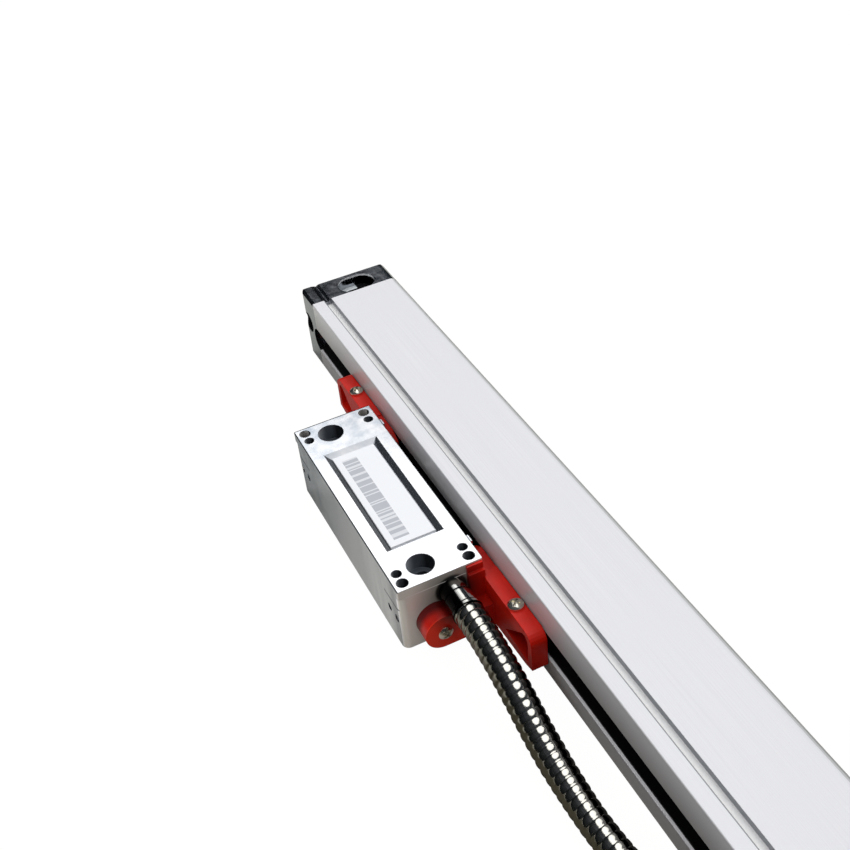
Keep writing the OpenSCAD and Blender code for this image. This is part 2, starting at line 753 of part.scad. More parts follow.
module bracket() {
    x0 = head_l / 2;
    difference() {
        union() {
            along_y(-bracket_gap - bracket_t, bracket_t) bracket_profile();
            // tongue in the gap between the head and the housing
            along_y(-bracket_gap - tongue_t, tongue_t)
                polygon([[tongue_from, 8], [x0 + 1, 6], [x0 + 1, bracket_h - 0.4],
                    [tongue_from + 4, bracket_h - 0.4], [tongue_from, bracket_h - 3]]);
            // plate on the end of the head, which leaves the cable's exit free
            along_x(x0, bracket_plate) {
                polygon([[boss_y, boss_foot], [-bracket_gap - bracket_t + 0.5, boss_foot],
                    [-bracket_gap - bracket_t + 0.5, exit_z - 6], [boss_y, exit_z - 6]]);
                translate([boss_y, boss_z]) circle(r = boss_r);
            }
            for (part = [[plate_web, web_h], [tab_t, tab_h]])
                along_x(x0, part.x) translate([exit_y + 5.4, exit_z - 7])
                    square([-bracket_gap - bracket_t + 0.5 - exit_y - 5.4, part.y - exit_z + 7]);
        }
        rod_x(x0 - e, bracket_plate + 2 * e, bracket_screw_d + fit, boss_y, boss_z);
        rod_z(bracket_h - upright_screw_l - 0.2, upright_screw_l + 0.4, bracket_screw_d + fit,
            upright_at, -bracket_gap - bracket_t / 2);
        // cuts that set the boss off from the cable's notch
        along_x(x0 - e, bracket_plate + 2 * e)
            translate([boss_y + 3.4, boss_z + 5]) square([2.6, 6]);
    }
}

// Pan head with a cross recess, on a shank that goes down
module pan_screw(len) {
    difference() {
        union() {
            intersection() {
                cylinder(d = bracket_head_d, h = bracket_head_h);
                translate([0, 0, bracket_head_h - 3.6]) sphere(r = 3.6);
            }
            translate([0, 0, -len]) cylinder(d = bracket_screw_d, h = len + 0.1);
        }
        for (a = [45, 135]) rotate([0, 0, a]) translate([0, 0, bracket_head_h])
            cube([recess.x, recess.y, 2 * recess.z], center = true);
    }
}

module bracket_screws() {
    translate([upright_at, -bracket_gap - bracket_t / 2, bracket_h]) pan_screw(upright_screw_l);
    translate([head_l / 2 + bracket_plate, boss_y, boss_z]) rotate([0, 90, 0])
        pan_screw(bracket_plate + 3.4);
}

module bracket_near() { color("#c8281a") in_head() bracket(); }
module bracket_far() { color("#c8281a") in_head() mirror([1, 0, 0]) bracket(); }
module bracket_screws_near() { color("#d8d4c4") in_head() bracket_screws(); }
module bracket_screws_far() { color("#d8d4c4") in_head() mirror([1, 0, 0]) bracket_screws(); }

// ---- Cable ----

// Ferrule turned from steel: spigot, two lands and the collar that grips the conduit
module ferrule() {
    r = cable_d / 2;
    color("#c4c6c8") in_head() translate([head_l / 2, exit_y, exit_z]) rotate([0, 90, 0])
        rotate_extrude() polygon([[passage_d / 2, -spigot_l], [spigot_d / 2, -spigot_l],
            [spigot_d / 2, 0], [r - 0.2, 0], [r - 0.2, 4.2], [r - 0.6, 4.4], [r - 0.6, 4.9],
            [r + 0.1, 5.1], [r + 0.1, 9.7], [r - 0.3, 9.9], [r - 0.3, 10.2], [r + 0.5, 10.4],
            [r + 0.5, ferrule_l], [passage_d / 2, ferrule_l]]);
}

function unit(v) = v / norm(v);
function heading(p, i) = unit(p[min(i + 1, len(p) - 1)] - p[max(i - 1, 0)]);

// Tube of diameter d along the points p
module tube(p, d, n = 10) {
    last = len(p) - 1;
    rings = [for (i = [0:last]) let (t = heading(p, i), side = unit(cross([0, 0, 1], t)),
        up = cross(t, side)) for (k = [0:n - 1])
            p[i] + d / 2 * (cos(360 * k / n) * side + sin(360 * k / n) * up)];
    polyhedron(rings, concat([[for (k = [0:n - 1]) k]],
        [for (i = [0:last - 1], k = [0:n - 1])
            [i * n + k, (i + 1) * n + k, (i + 1) * n + (k + 1) % n, i * n + (k + 1) % n]],
        [[for (k = [n - 1:-1:0]) last * n + k]]));
}

module cable_lead() { color("#8c9094") in_head() tube(lead_route, cable_d); }
module cable_tail() { color("#8c9094") in_head() tube(tail_route, cable_d); }

module cable_coil() {
    half = coil_turns.x * cable_d / 2;
    color("#8c9094") in_head() translate([coil_x, coil_y, 0]) rotate_extrude()
        round_rect([coil_r - half, 0], [coil_r + half, coil_turns.y * cable_d], cable_d / 2);
}

// ---- Plug ----

module plug_hood() {
    ear = plug_span / 2;
    color("#9a9ca0") in_plug() difference() {
        intersection() {
            along_z(-hood_t / 2, hood_t) polygon([[0, -neck_w / 2], [shoulder - 2, -neck_w / 2],
                [shoulder, -neck_w / 2 - 1.4], [shoulder, -hood_w / 2 + 1], [shoulder + 1, -hood_w / 2],
                [hood_l, -hood_w / 2], [hood_l, hood_w / 2], [shoulder + 1, hood_w / 2],
                [shoulder, hood_w / 2 - 1], [shoulder, neck_w / 2 + 1.4], [shoulder - 2, neck_w / 2],
                [0, neck_w / 2]]);
            along_y(-hood_w / 2, hood_w) polygon([[0, -hood_t / 2 + 1], [1, -hood_t / 2],
                [hood_l, -hood_t / 2], [hood_l, hood_t / 2], [1, hood_t / 2], [0, hood_t / 2 - 1]]);
            along_x(0, hood_l) round_rect([-hood_w / 2, -hood_t / 2], [hood_w / 2, hood_t / 2], 2);
        }
        // room for the connector and its wires
        translate([shoulder + 2, -9.6, -5.6]) cube([hood_l, 19.2, 11.2]);
        rod_x(-e, shoulder + 4, passage_d, 0, 0);
        for (s = [-1, 1]) rod_x(-e, hood_l + 2 * e, thumb_d + 0.1, s * ear, 0);
    }
}

module plug_sleeve() {
    color("#b4b6b8") in_plug() rotate([0, 90, 0]) rotate_extrude()
        polygon([[passage_d / 2, -sleeve_l], [cable_d / 2 + 0.7, -sleeve_l],
            [cable_d / 2 + 0.7, -sleeve_l + 1.5], [cable_d / 2 + 0.2, -sleeve_l + 1.9],
            [cable_d / 2 + 0.2, -1.2], [cable_d / 2 + 1, -0.9], [cable_d / 2 + 1, 0],
            [passage_d / 2, 0]]);
}

// D outline with rounded corners, smaller by inset
module d_outline(inset) {
    h = d_half - inset;
    a = d_wide - inset;
    b = d_narrow - inset;
    r = 1.8 - inset;
    polygon(concat(arc([a - r, h - r], r, 0, 90, 4), arc([-a + r, h - r], r, 90, 180, 4),
        arc([-b + r, -h + r], r, 190, 270, 4), arc([b - r, -h + r], r, 270, 350, 4)));
}

module plug_shell() {
    color("#c8cacc") in_plug() difference() {
        union() {
            along_x(hood_l, flange_t) round_rect([-15.4, -6.2], [15.4, 6.2], 1.5);
            along_x(hood_l, flange_t + shell_l) d_outline(0);
        }
        along_x(hood_l - e, flange_t + shell_l + 2 * e) d_outline(d_wall);
        for (s = [-1, 1]) rod_x(hood_l - e, flange_t + 2 * e, thumb_d + 0.1, s * plug_span / 2, 0);
    }
}

// Places of the nine contacts, as [y, z]
contacts = concat([for (i = [-2:2]) [i * pin_pitch, pin_rows / 2]],
    [for (i = [-1.5:1:1.5]) [i * pin_pitch, -pin_rows / 2]]);

module plug_insert() {
    color("#1c1c1e") in_plug() difference() {
        union() {
            along_x(hood_l - 8, 8) round_rect([-9.4, -5.4], [9.4, 5.4], 1);
            along_x(hood_l - 1, flange_t + 1.4) d_outline(d_wall + 0.05);
        }
        for (c = contacts) rod_x(hood_l - 9, 12, 1.04, c.x, c.y);
    }
}

module plug_pins() {
    color("#c9a24a") in_plug() for (c = contacts) {
        rod_x(hood_l - 11, 11 + flange_t + shell_l - 1.5, 1, c.x, c.y);
        translate([hood_l + flange_t + shell_l - 1.5, c.x, c.y]) sphere(d = 1);
    }
}

// Long screw with a grooved knob
module thumbscrew(s) {
    color("#a8aaae") in_plug() translate([0, s * plug_span / 2, 0]) difference() {
        union() {
            rod_x(shoulder - 0.4 - knob_l, knob_l, knob_d, 0, 0);
            rod_x(shoulder - 0.5, hood_l - shoulder + flange_t + 6, thumb_d, 0, 0);
        }
        for (a = [0:30:330]) rotate([a, 0, 0])
            translate([shoulder - 0.4 - knob_l - e, -0.3, knob_d / 2 - 0.35])
                cube([knob_l - 1, 0.6, 1]);
        translate([shoulder - 0.4 - knob_l - e, -0.5, -knob_d]) cube([1.2 + e, 1, 2 * knob_d]);
    }
}

module thumbscrew_a() { thumbscrew(-1); }
module thumbscrew_b() { thumbscrew(1); }

extrusion();
end_cap_far();
end_cap_near();
gasket_far();
gasket_near();
cap_screws_far();
cap_screws_near();
lip_lower();
lip_upper();
glass_scale();
glass_strip();
head_casting();
label_plate();
head_cover();
head_screws();
grub_screws();
circuit_board();
coupling_blade();
coupling_spring();
carriage();
roller_axles();
led_board();
detector_board();
index_grating();
roller_face_a();
roller_face_b();
roller_face_c();
roller_edge_a();
roller_edge_b();
bracket_far();
bracket_near();
bracket_screws_far();
bracket_screws_near();
ferrule();
cable_lead();
cable_coil();
cable_tail();
plug_hood();
plug_sleeve();
plug_shell();
plug_insert();
plug_pins();
thumbscrew_a();
thumbscrew_b();
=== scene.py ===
# %% [markdown]
# # An enclosed linear glass scale
# The real one is an anodised aluminium channel with a glass rule inside. A reading head
# slides along it, and an armoured cable takes the signal away. The solids come from the
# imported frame. This script adds the camera, the light, the finishes and the ribbed steel
# hose of the cable, whose shape is easier to make here.

# %% Load the frame
import json
from math import cos, pi, radians, sin

import bmesh
import bpy
from mathutils import Matrix, Vector


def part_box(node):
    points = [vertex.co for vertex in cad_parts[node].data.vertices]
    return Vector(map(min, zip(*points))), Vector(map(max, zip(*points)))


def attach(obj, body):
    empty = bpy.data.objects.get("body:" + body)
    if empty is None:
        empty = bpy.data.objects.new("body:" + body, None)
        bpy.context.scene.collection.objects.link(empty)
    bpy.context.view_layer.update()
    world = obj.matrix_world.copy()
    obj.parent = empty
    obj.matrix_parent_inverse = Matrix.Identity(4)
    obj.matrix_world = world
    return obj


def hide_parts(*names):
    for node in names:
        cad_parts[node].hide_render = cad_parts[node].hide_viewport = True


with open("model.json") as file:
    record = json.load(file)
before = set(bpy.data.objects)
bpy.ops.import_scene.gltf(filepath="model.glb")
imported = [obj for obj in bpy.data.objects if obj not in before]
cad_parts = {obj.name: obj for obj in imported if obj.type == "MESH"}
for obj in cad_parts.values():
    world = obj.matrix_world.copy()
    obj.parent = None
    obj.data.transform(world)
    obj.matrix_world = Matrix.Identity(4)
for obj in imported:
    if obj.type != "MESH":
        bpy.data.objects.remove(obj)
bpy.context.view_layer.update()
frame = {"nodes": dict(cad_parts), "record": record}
MM = 0.001
scene = bpy.context.scene

# %% [markdown]
# ## Camera
# The scale is seen from above its near end, with a lens of about 50 mm. A camera can be
# turned by three angles, but a place, a point to look at and a roll are easier to read,
# so the angles are worked out from those. The same function aims the lamps later.

# %% Camera
def aimed(place, target, roll=0.0):
    """The matrix of something at place that looks at target, rolled about its own axis."""
    turn = (target - place).to_track_quat("-Z", "Y").to_matrix().to_4x4()
    return Matrix.Translation(place) @ turn @ Matrix.Rotation(roll, 4, "Z")


camera_place = Vector((0.2404, -0.1266, 0.2849))
camera_target = Vector((-0.0858, 0.0009, 0.0))
camera_data = bpy.data.cameras.new("camera")
camera_data.lens = 49.88
camera_data.clip_start, camera_data.clip_end = 0.01, 20
camera = bpy.data.objects.new("camera", camera_data)
camera.matrix_world = aimed(camera_place, camera_target, radians(-6.73))
scene.collection.objects.link(camera)
scene.camera = camera
print("camera is", round((camera_target - camera_place).length, 3), "m from its target")

# %% [markdown]
# ## Route of the cable
# The armoured hose is stiff, so it leaves the ferrule straight, sinks to the table in a
# long slope and runs on. It is 2.5 m long, as is usual for such a scale, and what isn't
# in use lies in a round coil with the plug on top. One curve drawn by hand would cut
# through itself in the coil, so only the free stretches follow a few chosen points, and
# a loop works out the turns.

# %% The stretches with chosen points
hose_d = 9 * MM
head_low, head_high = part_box("head_casting")
head_middle = (head_low.x + head_high.x) / 2
slot_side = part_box("extrusion")[0].y


def from_head(x, y, z):
    """A point given in millimetres from the head's middle, the slot side and the table."""
    return Vector((head_middle + x * MM, slot_side + y * MM, z * MM))


lead = [from_head(*p) for p in (
    (55.55, -16, 18.5), (62, -16, 18.5), (70, -16, 17.4), (78, -16, 15.4), (87, -16, 12.3),
    (95, -16, 9.1), (104, -16, 6.5), (114, -16, 5.1), (125, -15.9, 4.6), (137, -15.1, 4.6),
    (149, -13.4, 4.6), (163.2, -12.2, 4.6), (180, -12, 4.6))]
tail = [from_head(*p) for p in (
    (240.1, -75, 34), (235.5, -89, 34.7), (226.5, -99.5, 34.9), (214.5, -104, 34.9),
    (206.5, -104, 34.9))]
print("lead has", len(lead), "points and the tail", len(tail))

# %% [markdown]
# The coil is wound in three layers of nearly three turns each, inwards, outwards and
# inwards again, so that it is as narrow as the stiff hose allows. Each turn keeps its
# radius and moves to the next in one fifth of a turn, and the hose steps up a layer on its
# innermost or outermost turn. The places of these moves differ from layer to layer, so
# that no turn cuts through the one beside or below it. Each row below gives the radius,
# the layer and the number of turns wound when the hose has arrived there. Lengths are in
# millimetres.

# %% The coil
coil_at = from_head(195.5, -66, 0)
lowest_axis = 4.6
layer_height = 9.0
points_per_turn = 24
stages = [(54, 0, 0.0), (54, 0, 0.8), (45, 0, 1.0), (45, 0, 1.8), (36, 0, 2.0), (36, 0, 2.6),
          (36, 1, 2.8), (36, 1, 3.4), (45, 1, 3.6), (45, 1, 4.4), (54, 1, 4.6), (54, 1, 5.2),
          (54, 2, 5.4), (54, 2, 6.0), (45, 2, 6.2), (45, 2, 7.0), (36, 2, 7.2), (36, 2, 7.8),
          (36, 3, 8.0), (45.5, 3.2, 8.25)]


def on_coil(turns):
    """The point on the coil after that many turns from its outer end."""
    k = max(i for i, stage in enumerate(stages[:-1]) if stage[2] <= turns)
    (r0, z0, t0), (r1, z1, t1) = stages[k], stages[k + 1]
    t = (turns - t0) / (t1 - t0)
    t = t * t * (3 - 2 * t)
    r = r0 + (r1 - r0) * t
    z = lowest_axis + layer_height * (z0 + (z1 - z0) * t)
    return coil_at + Vector((r * sin(2 * pi * turns), r * cos(2 * pi * turns), z)) * MM


turns_wound = stages[-1][2]
coil = [on_coil(i / points_per_turn) for i in range(int(turns_wound * points_per_turn))]
print("coil has", turns_wound, "turns and", len(coil), "points")

# %% [markdown]
# Straight pieces from point to point would show as kinks, so the line through the points
# is a smooth one. Between two points it is the cubic whose slopes follow from the points
# before and after them.

# %% One smooth line through all points
def through(points, spacing):
    """Points about a spacing apart on a smooth curve through the given ones."""
    line = [points[0]]
    for i in range(len(points) - 1):
        b, c = points[i], points[i + 1]
        a = points[i - 1] if i else b * 2 - c
        d = points[i + 2] if i + 2 < len(points) else c * 2 - b
        parts = max(1, round((c - b).length / spacing))
        for k in range(1, parts + 1):
            t = k / parts
            line.append(0.5 * (2 * b + (c - a) * t + (2 * a - 5 * b + 4 * c - d) * t ** 2
                               + (3 * b - a - 3 * c + d) * t ** 3))
    return line


hose_line = through(lead + coil + tail, 4 * MM)
hose_length = sum((b - a).length for a, b in zip(hose_line, hose_line[1:]))
print("hose is", round(hose_length, 3), "m long")

# %% [markdown]
# ## Helpers for finishes
# Colours are written as sRGB hex, as a paint chart gives them, and Blender calculates
# with linear light, so one function turns them. Another adds one node to a material, with
# its settings and links. A finish starts from Blender's Principled shader and from the
# place of a point on its object, and is kept under the name of the slot that it is for.

# %% Helpers for finishes
finishes = {}


def colour(code):
    """An sRGB hex colour such as "#e4e4e6" as linear red, green, blue and alpha."""
    parts = [int(code[i:i + 2], 16) / 255 for i in (1, 3, 5)]
    return [c / 12.92 if c <= 0.04045 else ((c + 0.055) / 1.055) ** 2.4 for c in parts] + [1]


def add(tree, kind, inputs=None, **settings):
    """Adds a node. Each input is a value or the socket that feeds it."""
    made = tree.nodes.new(kind)
    for key, value in settings.items():
        setattr(made, key, value)
    for key, value in (inputs or {}).items():
        if isinstance(value, bpy.types.NodeSocket):
            tree.links.new(value, made.inputs[key])
        else:
            made.inputs[key].default_value = value
    return made


def start_finish(name, **values):
    """A new material, its node tree, its shader and the point on the object."""
    material = bpy.data.materials.new(name)
    material.use_nodes = True
    tree = material.node_tree
    shader = tree.nodes["Principled BSDF"]
    for key, value in values.items():
        shader.inputs[key.replace("_", " ")].default_value = value
    place = add(tree, "ShaderNodeTexCoord").outputs["Object"]
    return material, tree, shader, place


def use(slot, material):
    """Keeps the material as the finish of that slot."""
    finishes[slot] = material
    print(slot, "is", material.name, "with", len(material.node_tree.nodes), "nodes")


print("the grey #808080 is", round(colour("#808080")[0], 3), "in linear light")

# %% [markdown]
# No made surface is quite even. A noise in the size of the real patches drives the
# roughness or the colour, and another one raises the surface a little. The bump node also
# takes a rounded normal, which breaks the edges as a real piece's are broken.

# %% Uneven surfaces
edge_radius = 0.25 * MM


def uneven(tree, place, size, low, high, stretch=(1, 1, 1), detail=3.0):
    """A soft random value from low to high whose patches are about size across."""
    turned = add(tree, "ShaderNodeMapping", {"Vector": place, "Scale": stretch})
    noise = add(tree, "ShaderNodeTexNoise",
                {"Vector": turned.outputs["Vector"], "Scale": 1 / size, "Detail": detail})
    spread = add(tree, "ShaderNodeMapRange",
                 {"Value": noise.outputs["Fac"], "From Min": 0.3, "From Max": 0.7,
                  "To Min": low, "To Max": high})
    return spread.outputs["Result"]


def bumpy(tree, shader, height, depth):
    """Raises the surface by height times depth, and rounds its edges for the light."""
    rounded = add(tree, "ShaderNodeBevel", {"Radius": edge_radius}, samples=4)
    bump = add(tree, "ShaderNodeBump", {"Height": height, "Distance": depth,
                                        "Strength": 1.0, "Normal": rounded.outputs[0]})
    tree.links.new(bump.outputs["Normal"], shader.inputs["Normal"])


print("edges are rounded to", round(edge_radius / MM, 2), "mm for the light")

# %% [markdown]
# Much of a finish depends on where a point lies in its piece, or on which way it faces.
# An image could be painted for that, but a rule in millimetres keeps its size and needs
# no unwrapping. So these functions turn a place or a normal into a mask, which is one
# where the rule holds and zero elsewhere.

# %% Masks
def both(tree, *masks):
    """One where all the masks are one."""
    made = masks[0]
    for mask in masks[1:]:
        made = add(tree, "ShaderNodeMath", {0: made, 1: mask},
                   operation="MULTIPLY").outputs[0]
    return made


def either(tree, first, second):
    """One where at least one of the masks is one."""
    return add(tree, "ShaderNodeMath", {0: first, 1: second}, operation="MAXIMUM").outputs[0]


def between(tree, vector, axis, start, end):
    """One where the vector's x, y or z is from start to end."""
    value = add(tree, "ShaderNodeSeparateXYZ", {"Vector": vector}).outputs[axis]
    above = add(tree, "ShaderNodeMath", {0: value, 1: start}, operation="GREATER_THAN")
    below = add(tree, "ShaderNodeMath", {0: value, 1: end}, operation="LESS_THAN")
    return both(tree, above.outputs[0], below.outputs[0])


def at_face(tree, place, axis, value):
    """One on the face that lies at that x, y or z."""
    return between(tree, place, axis, value - 0.1 * MM, value + 0.1 * MM)


def fading(tree, vector, axis, start, end, low=0.0, high=1.0):
    """Goes from low to high as the vector's x, y or z goes from start to end."""
    value = add(tree, "ShaderNodeSeparateXYZ", {"Vector": vector}).outputs[axis]
    faded = add(tree, "ShaderNodeMapRange", {"Value": value, "From Min": start,
                                             "From Max": end, "To Min": low, "To Max": high})
    return faded.outputs["Result"]


# %% [markdown]
# A mask does its work in a Mix node. The node sits before one input of the shader and goes
# from what that input had to a new value, as far as the mask says. Where two changes meet,
# the one that is written later lies on top, as with coats of paint.

# %% Changes by mask
def changed(tree, shader, name, where, value, data_type="FLOAT"):
    """Moves one of the shader's inputs to the value where the mask is one."""
    old = shader.inputs[name]
    before = old.links[0].from_socket if old.links else old.default_value
    mixed = add(tree, "ShaderNodeMix", {"Factor": where, "A": before, "B": value},
                data_type=data_type)
    tree.links.new(mixed.outputs["Result"], old)


def tinted(tree, shader, where, tint):
    """Changes the base colour where the mask is one."""
    changed(tree, shader, "Base Color", where, colour(tint), data_type="RGBA")


# %% [markdown]
# ## Anodised aluminium
# The channel is extruded 6063 aluminium, etched and anodised in its own colour. The die
# leaves faint lines along it. They are a noise that is stretched along X, and drawn
# 0.25 mm wide, because real ones are too fine to show. The edge beside the groove has a
# thin painted dark line, a painted shade. The groove's floor is painted bright, painted
# light, and its inner wall painted grey, a painted shade. The side with the slot slid
# along the die's flat land, which makes it smoother, and it is painted grey-brown towards
# its lower edge, a painted shade. The round edge at the back is painted greyer than the
# top, a painted shade.

# %% Anodised aluminium
line_width = 0.25 * MM
groove_near, groove_far = slot_side + 5.1 * MM, slot_side + 8.2 * MM
groove_depth = 2.4 * MM


def anodised_aluminium():
    # the clear oxide makes the metal very pale and satin, with hardly a mirror image
    material, tree, shader, place = start_finish(
        "anodised_aluminium", Base_Color=colour("#e1e1e5"), Metallic=0.12,
        Specular_IOR_Level=0.3)
    normal = add(tree, "ShaderNodeNewGeometry").outputs["True Normal"]
    lines = uneven(tree, place, line_width, 0, 1, stretch=(0.004, 1, 1))
    tinted(tree, shader, lines, "#e8e8eb")

    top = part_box("extrusion")[1].z
    floor = top - groove_depth
    skin = 0.1 * MM
    # painted shade: a thin dark line along the edge beside the groove and a grey inner wall;
    # painted light: a white groove floor
    shaded_groove_edge = between(tree, place, "Y", groove_near - 0.3 * MM, groove_near + 0.02 * MM)
    groove_floor = both(tree, at_face(tree, place, "Z", floor),
                        between(tree, place, "Y", groove_near + skin, groove_far - skin))
    inner_wall = both(tree, at_face(tree, place, "Y", groove_far),
                      between(tree, place, "Z", floor + skin, top - skin))
    tinted(tree, shader, shaded_groove_edge, "#8e9094")
    tinted(tree, shader, groove_floor, "#ffffff")
    tinted(tree, shader, inner_wall, "#8f9297")

    # painted shade along the round edge at the back
    shaded_round_edge = both(tree, fading(tree, normal, "Y", 0.15, 0.8),
                      fading(tree, normal, "Y", 0.9, 0.99, low=1.0, high=0.0))
    tinted(tree, shader, shaded_round_edge, "#8f928d")
    # painted shade on the slot side, darker towards its lower edge
    slot_face = between(tree, normal, "Y", -1.1, -0.6)
    darkening_fade = fading(tree, place, "Z", top - 2 * MM, top - 11 * MM, high=0.5)
    tinted(tree, shader, both(tree, slot_face, darkening_fade), "#7d7771")

    tree.links.new(uneven(tree, place, 1 * MM, 0.44, 0.5), shader.inputs["Roughness"])
    changed(tree, shader, "Roughness", slot_face, 0.32)
    changed(tree, shader, "Metallic", slot_face, 0.3)
    bumpy(tree, shader, lines, 0.003 * MM)
    return material


use("anodised_extrusion", anodised_aluminium())

# %% [markdown]
# ## Plated zinc die casting: places on the reading head
# The head is cast in zinc, polished and plated. A cast face is never flat, so a very low
# bump with waves of about 4 mm bends the reflections a little. The holes are painted
# darker, a painted shade, and the ends of the head are only blasted before plating. These
# places are found from where a point lies in the casting's box. The distance from the
# head's middle serves both ends with one rule.

# %% Places on the head
wave_length = 4 * MM
recess_half = 28 * MM
head_half = (head_high.x - head_low.x) / 2


def head_places(tree, place, normal):
    """The distance from the middle, then the holes, the label's recess and the ends."""
    off_middle = add(tree, "ShaderNodeVectorMath", {0: place, 1: (head_middle, 0, 0)},
                     operation="SUBTRACT").outputs[0]
    off_middle = add(tree, "ShaderNodeVectorMath", {0: off_middle},
                     operation="ABSOLUTE").outputs[0]
    either_way = add(tree, "ShaderNodeVectorMath", {0: normal},
                     operation="ABSOLUTE").outputs[0]
    below_top = head_high.z - 0.15 * MM
    skin = 0.4 * MM
    hole = both(tree, between(tree, off_middle, "X", recess_half + 0.6 * MM, head_half - skin),
                between(tree, place, "Y", head_low.y + skin, head_high.y - skin),
                between(tree, place, "Z", head_low.z + skin, below_top))
    recess = both(tree, between(tree, off_middle, "X", 0, recess_half),
                  between(tree, place, "Y", head_low.y + 2 * MM, head_high.y - 2 * MM),
                  between(tree, place, "Z", head_high.z - 1.6 * MM, head_high.z - 0.02 * MM))
    end = both(tree, between(tree, off_middle, "X", head_half - 2.5 * MM, head_half + 0.1 * MM),
               between(tree, either_way, "X", 0.5, 1.1),
               between(tree, place, "Z", head_low.z - 0.1 * MM, below_top))
    return off_middle, hole, recess, end


print("head is", round(2 * head_half / MM, 1), "mm long")

# %% [markdown]
# Round the exit, the metal is painted with a grey ring and a black ring close to it, both
# painted shade. The distance from the exit's axis gives both, and it comes back later for
# the painted shade on the plastic beside the hose. A bright seam shows where the two
# halves of the die met.

# %% The end of the head
def near_exit(tree, place, start, end, most=1.0):
    """Goes from most to zero as the distance from the exit's axis goes from start to end."""
    away = add(tree, "ShaderNodeVectorMath", {0: place, 1: lead[0]}, operation="SUBTRACT")
    across = add(tree, "ShaderNodeVectorMath", {0: away.outputs[0], 1: (0, 1, 1)},
                 operation="MULTIPLY")
    distance = add(tree, "ShaderNodeVectorMath", {0: across.outputs[0]}, operation="LENGTH")
    near = add(tree, "ShaderNodeMapRange",
               {"Value": distance.outputs["Value"], "From Min": start, "From Max": end,
                "To Min": most, "To Max": 0.0})
    return near.outputs["Result"]


def end_tints_and_painted_shade(tree, shader, place, end):
    """Tints both ends of the head, and paints rings of shade round the cable on one of them."""
    tinted(tree, shader, end, "#ece7e0")
    exit_end = both(tree, end,
                    between(tree, place, "X", head_middle, head_high.x + 1 * MM))
    # painted shade: a grey ring and, close to the cable, a black one
    for width, tint in ((9 * MM, "#979189"), (0.9 * MM, "#1c1c1b")):
        ring = near_exit(tree, place, 5 * MM, 5 * MM + width)
        tinted(tree, shader, both(tree, exit_end, ring), tint)
    seam_z = head_high.z - 3.7 * MM
    seam = both(tree, end, between(tree, place, "Z", seam_z, seam_z + 0.3 * MM))
    tinted(tree, shader, seam, "#f2f0ec")


print("cable leaves the head", round(lead[0].z / MM, 1), "mm above the table")

# %% [markdown]
# The finish of the head starts as plain plating and changes place by place. Metallic comes
# down where the metal is blasted or cut, because such a face scatters light and mirrors
# little, and stays at one on the polished faces.

# %% Plated head
def plated_head():
    # polished plating mirrors its surroundings, and its colour comes mostly from them
    material, tree, shader, place = start_finish(
        "plated_head", Base_Color=colour("#f4f5f8"), Metallic=1.0, Roughness=0.18)
    normal = add(tree, "ShaderNodeNewGeometry").outputs["True Normal"]
    off_middle, hole, recess, end = head_places(tree, place, normal)
    # a mottled blue-grey tint grows towards the far end
    darkening_fade = fading(tree, place, "X", head_middle, head_low.x, high=0.9)
    mottle = uneven(tree, place, 5 * MM, 0, 1, detail=4.0)
    tinted(tree, shader, both(tree, darkening_fade, mottle), "#aab6c4")
    # holes are painted darker, a painted shade, and a hole's wall has painted light where it
    # faces the channel and painted shade where it faces away
    painted_lit_wall = both(tree, hole, fading(tree, normal, "Y", 0.1, 0.9))
    painted_dark_wall = both(tree, hole, fading(tree, normal, "Y", 0.1, -0.7))
    tinted(tree, shader, hole, "#8d949e")
    tinted(tree, shader, painted_lit_wall, "#f2f6fa")
    tinted(tree, shader, painted_dark_wall, "#26282c")
    # the far wall of the label's recess is matt, and the wall on the outer side is painted
    # dark, a painted shade
    far_wall = both(tree, recess, between(tree, normal, "X", 0.3, 1))
    outer_wall = both(tree, recess, between(tree, normal, "Y", 0.3, 1))
    tinted(tree, shader, outer_wall, "#5d6063")
    # dark streaks on the outer side, most of all near its ends
    side = at_face(tree, place, "Y", head_low.y)
    towards_end = fading(tree, off_middle, "X", 12 * MM, head_half, low=0.15, high=0.75)
    marks = uneven(tree, place, 7 * MM, 0, 1, stretch=(1, 1, 0.12), detail=4.0)
    tinted(tree, shader, both(tree, side, towards_end, marks), "#5f666b")
    end_tints_and_painted_shade(tree, shader, place, end)
    # a painted dark line along the top's edges on the outer side and the far end, a painted
    # shade
    rim = 0.35 * MM
    shaded_rims = either(tree, between(tree, place, "Y", head_low.y - 0.1 * MM, head_low.y + rim),
                  between(tree, place, "X", head_low.x - 0.1 * MM, head_low.x + rim))
    top_edge = between(tree, place, "Z", head_high.z - rim, head_high.z + 0.1 * MM)
    tinted(tree, shader, both(tree, shaded_rims, top_edge), "#34373b")
    for name, where, value in (
            ("Metallic", end, 0.25), ("Metallic", far_wall, 0.2), ("Metallic", hole, 0.7),
            ("Metallic", painted_lit_wall, 0.3), ("Roughness", end, 0.35),
            ("Roughness", far_wall, 0.45), ("Roughness", hole, 0.3)):
        changed(tree, shader, name, where, value)
    bumpy(tree, shader, uneven(tree, place, wave_length, 0, 1, detail=1.0), 0.008 * MM)
    return material


use("cast_head", plated_head())

# %% [markdown]
# ## The caps
# The caps are zinc castings too, and each has a counterbored slot for its mounting screw.
# The slot's rim and seat are matt and painted bright, a painted highlight, and the slot
# below them is painted dark, a painted shade. The half of the slot towards the back is
# painted dark too, a painted shade. Absolute values of x let one rule serve both caps.

# %% Plated caps
seat_depth = 4.8 * MM


